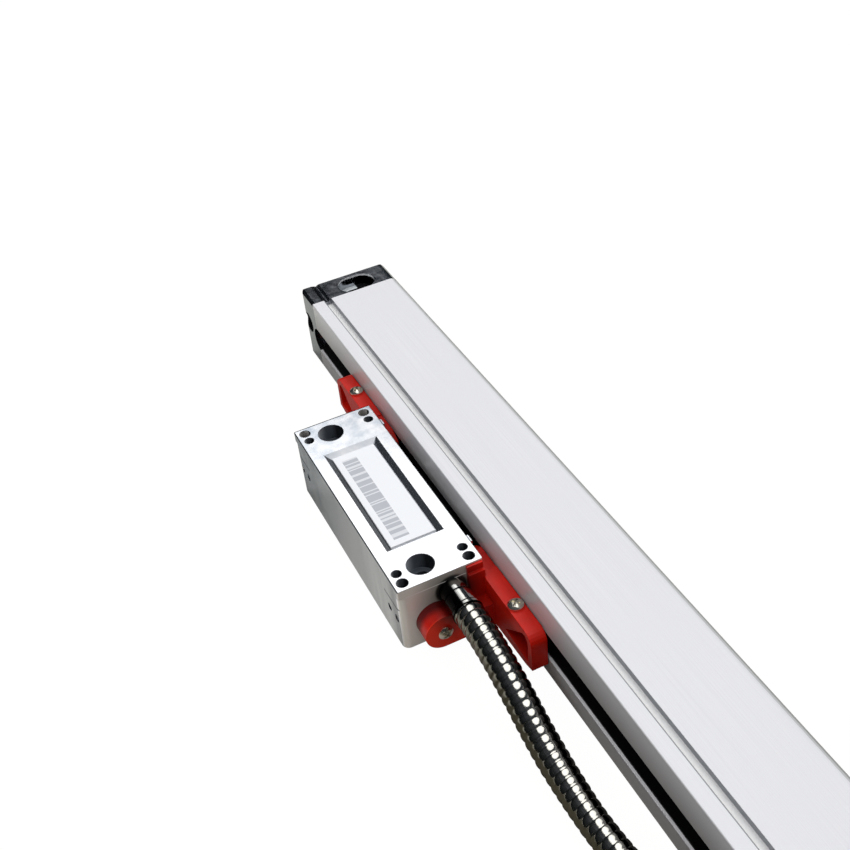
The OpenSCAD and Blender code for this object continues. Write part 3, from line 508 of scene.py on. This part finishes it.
def plated_cap():
    # the same plating as the head's, over a coarser skin: a dark mirror with broad waves
    material, tree, shader, place = start_finish(
        "plated_cap", Base_Color=colour("#898c92"), Metallic=1.0)
    # painted reflection: the plating is painted lighter away from the slot side
    painted_reflection_gradient = fading(tree, place, "Y", slot_side + 6 * MM, slot_side + 30 * MM)
    tinted(tree, shader, painted_reflection_gradient, "#c2c5cb")

    low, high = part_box("end_cap_far")
    cap_start, cap_end = sorted((abs(low.x), abs(high.x)))
    off_centre = add(tree, "ShaderNodeVectorMath", {0: place}, operation="ABSOLUTE").outputs[0]
    inside = between(tree, off_centre, "X", cap_start + 1.2 * MM, cap_end - 1.2 * MM)
    slot = both(tree, inside,
                between(tree, place, "Y", slot_side + 11 * MM, slot_side + 33 * MM))
    seat_z = high.z - seat_depth
    bottom = 0.4 * MM
    seat = both(tree, slot, at_face(tree, place, "Z", seat_z))
    rim = both(tree, slot, between(tree, place, "Z", high.z - 0.7 * MM, high.z - 0.03 * MM))
    below = both(tree, slot, between(tree, place, "Z", bottom, seat_z - 0.1 * MM))
    shaded_back_half = both(tree, inside,
                   between(tree, place, "Y", slot_side + 22.5 * MM, slot_side + 34 * MM),
                   between(tree, place, "Z", bottom, high.z - 0.8 * MM))
    # painted highlight on the seat and the rim, painted shade below them and in the back half
    # of the slot
    tinted(tree, shader, seat, "#eef4f8")
    tinted(tree, shader, rim, "#f4f6f8")
    tinted(tree, shader, below, "#0c0c0d")
    tinted(tree, shader, shaded_back_half, "#17181a")
    changed(tree, shader, "Metallic", either(tree, seat, rim), 0.1)
    tree.links.new(uneven(tree, place, 3 * MM, 0.11, 0.22), shader.inputs["Roughness"])
    bumpy(tree, shader, uneven(tree, place, wave_length, 0, 1, detail=1.0), 0.03 * MM)
    return material


use("cast_cap", plated_cap())

# %% [markdown]
# ## The cover of the head
# A stamped sheet closes the head towards the channel. It is hardly seen, so an even
# metal with soft patches is enough.

# %% Sheet aluminium
def sheet_aluminium():
    # rolled and then washed: light grey and half dull
    material, tree, shader, place = start_finish(
        "sheet_aluminium", Base_Color=colour("#c4c4c4"), Metallic=1.0)
    tree.links.new(uneven(tree, place, 3 * MM, 0.245, 0.49), shader.inputs["Roughness"])
    bumpy(tree, shader, uneven(tree, place, wave_length, 0, 1, detail=1.0), 0.004 * MM)
    return material


use("cover_plate", sheet_aluminium())

# %% [markdown]
# ## Steels
# Screws, pins and springs differ in colour and gloss by how they were made and coated, so
# one function makes them all from a tint and a roughness. Turning and drawing marks are a
# few hundredths of a millimetre wide. The grain is drawn 0.3 mm wide so that it shows.

# %% Steels
steel_grain = 0.3 * MM


def start_steel(name, tint, rough):
    """A bare or plated steel, its node tree, its shader and the point on the object."""
    material, tree, shader, place = start_finish(name, Metallic=1.0, Base_Color=colour(tint))
    tree.links.new(uneven(tree, place, steel_grain, rough * 0.7, rough * 1.3),
                   shader.inputs["Roughness"])
    bumpy(tree, shader, uneven(tree, place, steel_grain * 3, 0, 1), 0.004 * MM)
    return material, tree, shader, place


for slot, name, tint, rough in (
        # turned from bright bar: light grey with a soft shine
        ("steel_screw", "turned_steel", "#c9c7c2", 0.3),
        # black oxide keeps the shine of the steel below it, and hardly its light
        ("black_screw", "black_oxide_steel", "#3c3c3e", 0.35),
        # the same coat on a pressed piece: a little greyer and duller
        ("blackened_steel", "blackened_steel", "#4a4a4c", 0.4),
        # drawn wire is smooth along its length: brighter than a turned piece
        ("spring_steel", "spring_wire", "#d0cec8", 0.2),
        # races are ground and honed: nearly a mirror
        ("bearing_steel", "bearing_steel", "#d8dadc", 0.12),
        # nickel is a warm white, and it covers the marks below it
        ("nickel_screw", "nickel_plate", "#f4eede", 0.18),
        # a drawn and tinned shell: white and soft
        ("plug_tin", "tinned_steel", "#d6d6d4", 0.25),
        # a thin flash of gold over nickel: yellow and smooth
        ("gold_contact", "gold_flash", "#d8b25a", 0.2)):
    use(slot, start_steel(name, tint, rough)[0])

# %% [markdown]
# The ferrule is turned and chromed. It is bright, but its outer flank and the faces of its
# steps are painted dark, a painted dark reflection. A True Normal says which way a face
# points, whatever the bump does.

# %% Chromed ferrule
def chromed_ferrule():
    # polished chrome is the clearest mirror of all the metals here
    material, tree, shader, _ = start_steel("chromed_ferrule", "#d0d0cc", 0.1)
    normal = add(tree, "ShaderNodeNewGeometry").outputs["True Normal"]
    # painted dark reflection on the outer flank and on the faces of the steps
    painted_dark_flank = fading(tree, normal, "Y", -0.05, -0.35)
    step_faces = between(tree, normal, "X", 0.5, 1.1)
    tinted(tree, shader, either(tree, painted_dark_flank, step_faces), "#1b1b1c")
    return material


use("ferrule_steel", chromed_ferrule())

# %% [markdown]
# The hose is wound from rolled stainless strip. Over its first decimetre its flanks are
# painted darker: the outer flank with a painted dark reflection, and the flank towards the
# channel with painted shade. Each row gives the normals between which a tint sets in, the
# stretch in millimetres from the cable's exit over which it fades away, and its colour.

# %% Stainless strip
painted_flank_tints = [(-0.15, -0.45, 80, 120, "#9b9992"), (-0.6, -0.9, 80, 120, "#98958a"),
               (-0.6, -0.9, 15, 55, "#77746a"), (0.1, 0.4, 80, 120, "#3a3835")]


def stainless_strip():
    # rolled bright: each rib shows a small sharp image of the light
    material, tree, shader, place = start_steel("stainless_strip", "#e0ded6", 0.13)
    normal = add(tree, "ShaderNodeNewGeometry").outputs["True Normal"]
    # painted dark reflection on the outer flank and painted shade on the flank towards the
    # channel
    for faint, full, fades_at, gone_at, tint in painted_flank_tints:
        stretch = fading(tree, place, "X", lead[0].x + fades_at * MM,
                         lead[0].x + gone_at * MM, low=1.0, high=0.0)
        painted_dark_flank = fading(tree, normal, "Y", faint, full)
        tinted(tree, shader, both(tree, stretch, painted_dark_flank), tint)
    return material


use("conduit_steel", stainless_strip())

# %% [markdown]
# ## Moulded plastic and rubber
# Plastic takes the grain of its mould, a few thousandths of a millimetre deep and about a
# third of a millimetre wide, and its colour is never mixed quite evenly. Rubber, nylon
# and the other pieces differ in colour, gloss and depth of grain.

# %% Plastic and rubber
mould_grain = 0.35 * MM


def start_moulded(name, tint, darker, rough, depth, shine=0.35):
    """A moulded piece's material, its node tree, its shader and the point on the object."""
    material, tree, shader, place = start_finish(
        name, Base_Color=colour(darker), IOR=1.49, Specular_IOR_Level=shine)
    tinted(tree, shader, uneven(tree, place, 5 * MM, 0, 1), tint)
    tree.links.new(uneven(tree, place, 1.5 * MM, rough * 0.85, rough * 1.15),
                   shader.inputs["Roughness"])
    bumpy(tree, shader, uneven(tree, place, mould_grain, 0, 1), depth)
    return material, tree, shader, place


for slot, name, tint, darker, rough, depth, shine in (
        # pressed sheet rubber: black, dull and a little dusty
        ("rubber", "nitrile_gasket", "#1a1a1c", "#131315", 0.6, 0.01 * MM, 0.35),
        # wiped by the blade and deep in the slot: the darkest piece of all
        ("seal_lip", "nitrile_lip", "#060607", "#040405", 0.5, 0.006 * MM, 0.12),
        # glass-filled nylon has a rough grey-black skin
        ("carriage_plastic", "filled_nylon", "#26262a", "#1d1d20", 0.5, 0.01 * MM, 0.35),
        # plastic with a thin metal coat: grey and soft, with no mirror image
        ("plug_metal", "metallised_abs", "#9b9da1", "#909296", 0.35, 0.004 * MM, 0.35),
        # a smooth mould gives the connector's insert a faint shine
        ("insulator", "black_pbt", "#1c1c1e", "#161618", 0.45, 0.004 * MM, 0.35)):
    use(slot, start_moulded(name, tint, darker, rough, depth, shine)[0])

# %% [markdown]
# The transport brackets are red polypropylene. The rear half of the boss beside the cable
# is painted dark, a painted reflection, and its front face is painted bright, painted light.
# What lies close to the hose's end is painted dark, a painted shade. Each row gives a
# stretch along x, then where its tint sets in and where it is full, in millimetres from the
# head's end.

# %% Red polypropylene
boss_painted_light = [(-1, 4.6, 4.6, 2.2, "#66080a"), (6.6, 8, 6.6, 6.8, "#f03010")]


def red_polypropylene():
    # moulded polypropylene is a full colour under a soft, waxy shine
    material, tree, shader, place = start_moulded(
        "red_polypropylene", "#d41a04", "#c41403", 0.38, 0.006 * MM, shine=0.4)
    foot = head_high.x
    boss = between(tree, place, "Y", slot_side - 30 * MM, slot_side - 16.5 * MM)
    # painted reflection on the rear half of the boss and painted light on its front face
    for start, end, faint, full, tint in boss_painted_light:
        part = between(tree, place, "X", foot + start * MM, foot + end * MM)
        blend = fading(tree, place, "X", foot + faint * MM, foot + full * MM)
        tinted(tree, shader, both(tree, boss, part, blend), tint)
    # painted shade close to the hose's end
    painted_hose_shade = both(tree, near_exit(tree, place, 5.5 * MM, 12.5 * MM, most=0.9),
                 fading(tree, place, "X", foot + 9 * MM, foot + 24 * MM, low=1.0, high=0.0),
                 between(tree, place, "X", foot - 1 * MM, foot + 24 * MM))
    tinted(tree, shader, painted_hose_shade, "#3c0402")
    return material


use("red_plastic", red_polypropylene())

# %% [markdown]
# ## The label
# The recess of the head holds a white film. It stays free of words, and only a strip of
# pale grey bars runs along it, which stand for no code. An image could hold the bars, but
# a random value for each 0.55 mm along x makes them too, and keeps them sharp.

# %% Label film
bar_width = 0.55 * MM
share_of_gaps = 0.42


def label_film():
    # printed polyester under a clear coat: white, smooth and with a faint gloss
    material, tree, shader, place = start_finish(
        "label_film", Base_Color=colour("#eceef2"), Roughness=0.3, IOR=1.49)
    low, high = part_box("label_plate")
    strip = both(tree, between(tree, place, "X", low.x + 3 * MM, high.x - 2.5 * MM),
                 between(tree, place, "Y", low.y + 2.2 * MM, low.y + 7.6 * MM))
    x = add(tree, "ShaderNodeSeparateXYZ", {"Vector": place}).outputs["X"]
    step = add(tree, "ShaderNodeMath", {0: x, 1: bar_width}, operation="SNAP")
    pick = add(tree, "ShaderNodeTexWhiteNoise", {"W": step.outputs[0]}, noise_dimensions="1D")
    bar = add(tree, "ShaderNodeMath", {0: pick.outputs["Value"], 1: share_of_gaps},
              operation="GREATER_THAN")
    tinted(tree, shader, strip, "#d9dbe0")
    tinted(tree, shader, both(tree, strip, bar.outputs[0]), "#b4b7be")
    return material


use("label", label_film())

# %% [markdown]
# ## Glass and circuit boards
# The rule and the small index plate are float glass, polished, with a slight green tint.
# The boards have green solder mask. They are deep inside and show only through the gap
# between the lips and in cut views, so their finishes are simple.

# %% Glass and boards
def clear_glass(name, tint):
    # clear as water from the front, with a slight green where it is looked at edge on
    material, tree, shader, place = start_finish(
        name, Base_Color=colour(tint), IOR=1.52, Transmission_Weight=1.0)
    tree.links.new(uneven(tree, place, 8 * MM, 0.02, 0.06), shader.inputs["Roughness"])
    return material


def solder_mask():
    # printed lacquer: a glossy green that is lighter over the copper tracks
    material, tree, shader, place = start_finish(
        "solder_mask", Base_Color=colour("#16552f"), Roughness=0.35)
    tracks = uneven(tree, place, 1.2 * MM, 0, 1, detail=0.0)
    tinted(tree, shader, tracks, "#23723f")
    return material


use("scale_glass", clear_glass("scale_glass", "#dcefe9"))
use("grating_glass", clear_glass("grating_glass", "#e6f0ee"))
use("board", solder_mask())

# %% [markdown]
# ## A finish on every solid
# Each solid names a slot, and each slot has one finish by now. A solid's object keeps its
# mesh and only takes the new material in its slots.

# %% Finishes of the frame's solids
for subpart in frame["record"]["subparts"]:
    node = frame["nodes"][subpart["node"]]
    for holder in node.material_slots:
        holder.link = "OBJECT"
        holder.material = finishes[subpart["material_slot"]]
print(len(finishes), "finishes on", len(frame["nodes"]), "solids")

# %% [markdown]
# ## The armoured hose
# Steel strip is wound into a tube whose rounded ribs follow a helix. A curve with a round
# bevel would have no ribs, and a displacement would need millions of faces. So the hose is
# modelled straight, with its ribs, and bent at the end. Two helpers come first: one writes
# a bmesh to an object, and the other gives the mesh that an object's modifiers make.

# %% Objects from meshes
def to_object(name, bm):
    """Writes bm to a new object at the origin."""
    mesh = bpy.data.meshes.new(name)
    bm.to_mesh(mesh)
    bm.free()
    made = bpy.data.objects.new(name, mesh)
    scene.collection.objects.link(made)
    print(name, "has", len(mesh.polygons), "faces")
    return made


def shaped(obj):
    """A new mesh of obj with its modifiers carried out."""
    depsgraph = bpy.context.evaluated_depsgraph_get()
    return bpy.data.meshes.new_from_object(obj.evaluated_get(depsgraph))


# %% [markdown]
# The ribs are 2.8 mm apart. The section of one rib is spun once round the axis while it
# moves one pitch along, which gives one turn of the helix, and an Array modifier repeats
# it. The section's radius falls by 8% from the rib's back to the groove beside it, slowly
# at first, so that the back is broad and the groove narrow.

# %% Straight hose
pitch = 2.8 * MM
groove_share = 0.08
back_power = 2.6


def rib(i, parts):
    """Radius of the hose at part i of one rib: a round back with a narrow groove."""
    t = abs(2 * i / parts - 1)
    return hose_d / 2 * (1 - groove_share * t ** back_power)


def straight_hose(turns, parts, sides):
    """A mesh of that many turns along +X, each with its section in parts."""
    bm = bmesh.new()
    section = [bm.verts.new((i / parts * pitch, 0, rib(i, parts))) for i in range(parts + 1)]
    edges = [bm.edges.new(pair) for pair in zip(section, section[1:])]
    bmesh.ops.spin(bm, geom=section + edges, cent=(0, 0, 0), axis=(1, 0, 0), angle=2 * pi,
                   steps=sides, dvec=(pitch / sides, 0, 0))
    one_turn = to_object("one_turn", bm)
    array = one_turn.modifiers.new("turns", "ARRAY")
    array.count = turns
    array.use_relative_offset, array.use_constant_offset = False, True
    array.constant_offset_displace = (pitch, 0, 0)
    whole = shaped(one_turn)
    bpy.data.objects.remove(one_turn)
    return whole


print("grooves are", round(hose_d / 2 * groove_share / MM, 2), "mm deep")

# %% [markdown]
# The first 40 turns are finer than the coil, because they are seen from close by. Both
# stretches are made a little too long, cut square where they meet and joined. The first
# turn is dropped, so that both ends of the hose can be cut square and closed.

# %% Join the two stretches
near_turns, near_parts, near_sides = 40, 8, 24
far_parts, far_sides = 4, 14
near_length = near_turns * pitch
turns_in_all = int(hose_length / pitch)


def cut_square(bm, x, outwards):
    """Cuts bm at x, clears what lies outwards of it, and gives the edges of the cut."""
    cut = bmesh.ops.bisect_plane(bm, geom=bm.verts[:] + bm.edges[:] + bm.faces[:],
                                 plane_co=(x, 0, 0), plane_no=(outwards, 0, 0),
                                 clear_outer=True)
    return [e for e in cut["geom_cut"] if isinstance(e, bmesh.types.BMEdge)]


far_mesh = straight_hose(turns_in_all - near_turns + 3, far_parts, far_sides)
far = bmesh.new()
far.from_mesh(far_mesh)
bmesh.ops.translate(far, verts=far.verts, vec=(near_length - pitch, 0, 0))
cut_square(far, near_length, -1)
far.to_mesh(far_mesh)
far.free()

bm = bmesh.new()
bm.from_mesh(straight_hose(near_turns + 1, near_parts, near_sides))
cut_square(bm, near_length, 1)
bm.from_mesh(far_mesh)
bmesh.ops.remove_doubles(bm, verts=bm.verts, dist=0.01 * MM)
for x, outwards in ((pitch, -1), (pitch + hose_length, 1)):
    bmesh.ops.holes_fill(bm, edges=cut_square(bm, x, outwards))
bmesh.ops.translate(bm, verts=bm.verts, vec=(-pitch, 0, 0))
bmesh.ops.recalc_face_normals(bm, faces=bm.faces)
print(turns_in_all, "turns,", len(bm.faces), "faces")

# %% [markdown]
# The hose is pulled and bent most where it leaves the ferrule. Its strip has opened over
# the first five centimetres to a tube 8% wider, and closes again over the next two. Then
# a Curve modifier bends the straight hose along its route, and the result is kept.

# %% Bend the hose along its route
opened = 0.08
open_to, closed_from = 50 * MM, 69 * MM
for vert in bm.verts:
    slack = min(1, max(0, (closed_from - vert.co.x) / (closed_from - open_to)))
    vert.co.yz *= 1 + opened * slack

route = bpy.data.curves.new("hose_route", "CURVE")
route.dimensions = "3D"
route.twist_mode = "MINIMUM"
spline = route.splines.new("POLY")
spline.points.add(len(hose_line) - 1)
for point, place in zip(spline.points, hose_line):
    point.co = (*place, 1)
route_object = bpy.data.objects.new("hose_route", route)
scene.collection.objects.link(route_object)

hose = to_object("armoured_hose", bm)
hose.data.materials.append(finishes["conduit_steel"])
bend = hose.modifiers.new("bend", "CURVE")
bend.object = route_object
bend.deform_axis = "POS_X"
bent = shaped(hose)
hose.modifiers.clear()
hose.data = bent
bpy.data.objects.remove(route_object)
for face in hose.data.polygons:
    face.use_smooth = True
hose.data.set_sharp_from_angle(angle=radians(80))
print("hose has", sum(len(f.vertices) - 2 for f in hose.data.polygons), "triangles")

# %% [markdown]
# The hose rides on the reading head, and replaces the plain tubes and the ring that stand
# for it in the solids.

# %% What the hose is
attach(hose, "reading_head")
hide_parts("cable_lead", "cable_coil", "cable_tail")

# %% [markdown]
# ## The table
# The scale lies on a matt painted table. To the camera it is white, so that it runs into
# the background, but a part of its own light and shade is kept, so that the shadow shows.
# Matt pieces see it as a warm grey. Polished ones see it in pale and dark bands along x,
# as if grey cards lay beside the scale, because plated sides need something to mirror.

# %% Table
table_glow, share_of_glow = 1.15, 0.85


def banded(tree, value, steps, codes):
    """A colour that changes from code to code as the value passes the steps."""
    made = add(tree, "ShaderNodeValToRGB", {"Fac": value})
    stops = made.color_ramp.elements
    while len(stops) < len(steps):
        stops.new(0.5)
    for stop, step, code in zip(stops, steps, codes):
        stop.position, stop.color = step, colour(code)
    return made.outputs["Color"]


def pale_table():
    material, tree, shader, place = start_finish("pale_table")
    tree.nodes.remove(shader)
    along_x = fading(tree, place, "X", -0.24, 0.16)
    cards = banded(tree, along_x, (0.12, 0.38, 0.6, 0.7),
                   ("#c6c7bf", "#8d908f", "#e4e2dc", "#69655a"))
    path = add(tree, "ShaderNodeLightPath")
    tone = add(tree, "ShaderNodeMix", {"Factor": path.outputs["Is Glossy Ray"],
                                       "A": colour("#97928a"), "B": cards},
               data_type="RGBA")
    paint = add(tree, "ShaderNodeBsdfDiffuse", {"Color": tone.outputs["Result"]})
    white = add(tree, "ShaderNodeEmission", {"Color": (1, 1, 1, 1), "Strength": table_glow})
    share = add(tree, "ShaderNodeMath", {0: path.outputs["Is Camera Ray"], 1: share_of_glow},
                operation="MULTIPLY")
    mix = add(tree, "ShaderNodeMixShader", {0: share.outputs[0], 1: paint.outputs[0],
                                            2: white.outputs[0]})
    tree.links.new(mix.outputs[0], tree.nodes["Material Output"].inputs["Surface"])
    return material


half_width = 4
bm = bmesh.new()
bmesh.ops.create_grid(bm, x_segments=1, y_segments=1, size=half_width)
bmesh.ops.translate(bm, verts=bm.verts, vec=(0, 0, -0.05 * MM))
table = to_object("table", bm)
table.data.materials.append(pale_table())
print("table is", 2 * half_width, "m wide")

# %% [markdown]
# ## The room
# The room is white to the camera and to glass. Matt pieces get light that grows from grey
# at the horizon to white overhead. Polished metal needs something dark beside something
# bright to look like metal, so its reflections show a dark room with one large softbox
# overhead. The softbox is an ellipse that is long along x and tilted about it. A lamp could
# make it too, but one formula in the room's nodes gives it a sharp edge and no noise.

# %% Softbox
world = bpy.data.worlds.new("studio")
scene.world = world
world.use_nodes = True
room = world.node_tree
room.nodes.clear()
direction = add(room, "ShaderNodeTexCoord").outputs["Generated"]
apart = add(room, "ShaderNodeSeparateXYZ", {"Vector": direction})

tilt = radians(9.4)
across = Vector((0, cos(tilt), -sin(tilt)))
off_axis = add(room, "ShaderNodeVectorMath", {0: direction, 1: across},
               operation="DOT_PRODUCT").outputs["Value"]
# half sizes as sines of their angles, and the share of them over which the edge fades
softbox_half, softbox_long_half, softbox_edge = 0.37, 0.61, 0.06
softbox_x = -0.2
squares = []
for value, middle, half in ((off_axis, 0, softbox_half),
                            (apart.outputs["X"], softbox_x, softbox_long_half)):
    away = add(room, "ShaderNodeMapRange", {"Value": value, "From Min": middle,
                                            "From Max": middle + half}, clamp=False)
    squares.append(add(room, "ShaderNodeMath", {0: away.outputs[0], 1: 2.0},
                       operation="POWER").outputs[0])
radius = add(room, "ShaderNodeMath", {0: squares[0], 1: squares[1]})
softbox = add(room, "ShaderNodeMapRange",
              {"Value": radius.outputs[0], "From Min": 1 - softbox_edge,
               "From Max": 1 + softbox_edge, "To Min": 1.0, "To Max": 0.0})
print("softbox is", round(softbox_long_half / softbox_half, 2), "times as long as it is wide")

# %% [markdown]
# All this is one background, whose colour depends on the ray that meets it. The Light Path
# node says what kind of ray it is, and a Mix node for each answer picks the colour.

# %% Room
mirrored_power = 1.5
height = apart.outputs["Z"]
path = add(room, "ShaderNodeLightPath")
is_glossy = path.outputs["Is Glossy Ray"]
dark_room = banded(room, height, (0.0, 0.35, 0.9), ("#111314", "#1e2124", "#383b40"))
in_metal = add(room, "ShaderNodeMix", {"Factor": softbox.outputs[0], "A": dark_room,
                                       "B": colour("#ffffff")}, data_type="RGBA")
on_matt = banded(room, height, (0.0, 0.4, 0.72), ("#4a4a4a", "#86888c", "#ffffff"))
as_light = add(room, "ShaderNodeMix", {"Factor": is_glossy, "A": on_matt,
                                       "B": in_metal.outputs["Result"]}, data_type="RGBA")
seen = either(room, path.outputs["Is Camera Ray"], path.outputs["Is Transmission Ray"])
as_seen = add(room, "ShaderNodeMix", {"Factor": seen, "A": as_light.outputs["Result"],
                                      "B": colour("#ffffff")}, data_type="RGBA")
power = add(room, "ShaderNodeMapRange",
            {"Value": is_glossy, "To Min": 1.0, "To Max": mirrored_power})
background = add(room, "ShaderNodeBackground", {"Color": as_seen.outputs["Result"],
                                                "Strength": power.outputs[0]})
add(room, "ShaderNodeOutputWorld", {"Surface": background.outputs[0]})
print("room has", len(room.nodes), "nodes")

# %% [markdown]
# Two disc lamps give matt pieces their shape: a large one from above the far side, and a
# smaller one from the left. Polished pieces don't mirror them, because the softbox is the
# only bright shape that shows in the metal.

# %% Lamps
def lamp(name, place, size, watts):
    """A disc lamp that points at the middle of the scale."""
    data = bpy.data.lights.new(name, "AREA")
    data.shape, data.size, data.energy = "DISK", size, watts
    made = bpy.data.objects.new(name, data)
    made.matrix_world = aimed(Vector(place), Vector((0, 0, 0)))
    made.visible_glossy = False
    scene.collection.objects.link(made)
    print(name, "lamp gives", watts, "W")


lamp("overhead", (-0.5, 0.5, 1.1), 0.7, 5)
lamp("left", (0.3, -0.9, 0.8), 0.3, 2)
scene.view_settings.view_transform = "Standard"
